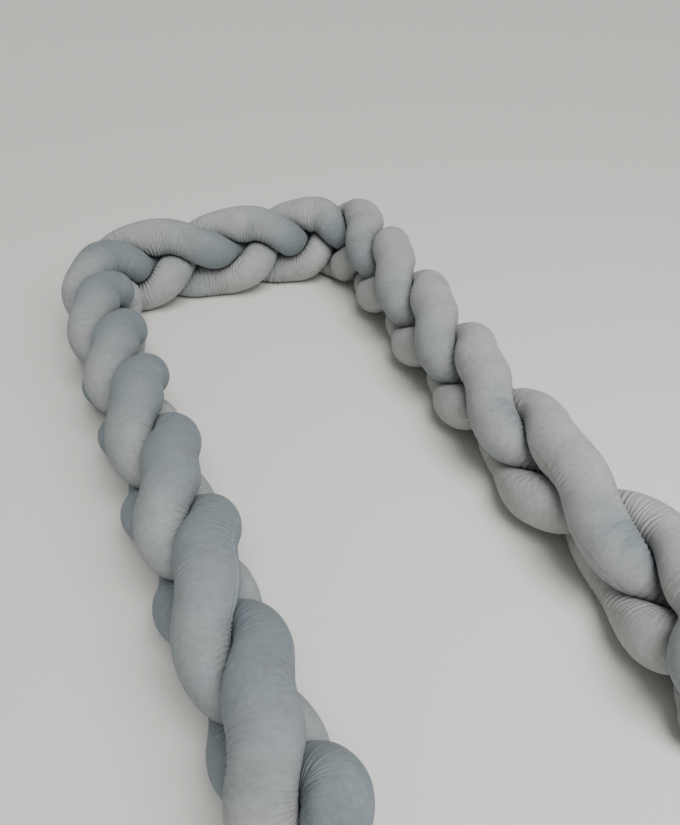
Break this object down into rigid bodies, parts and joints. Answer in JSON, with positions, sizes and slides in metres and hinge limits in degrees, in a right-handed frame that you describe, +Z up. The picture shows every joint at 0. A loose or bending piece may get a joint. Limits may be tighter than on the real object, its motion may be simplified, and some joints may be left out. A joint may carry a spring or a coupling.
{
  "type": "braided crib bumper",
  "caption": "Stuffed velvet tubes plaited into a soft crib bumper that lies in a U on a cot mattress, against its sides and far end.",
  "frame": {"origin": "centre of the bumper's box seen from above, on the mattress plane", "axes": "+Z up; +Y along the arms of the U, from its open near end to its closed far end; +X to the right seen from the open end"},
  "size_m": [0.629, 1.2126, 0.1718],
  "materials": {
    "velvet": "short-pile velvet, soft sheen"
  },
  "bodies": {
    "root": {"strand_a": "velvet", "strand_b": "velvet", "strand_c": "velvet"}
  },
  "joints": []
}
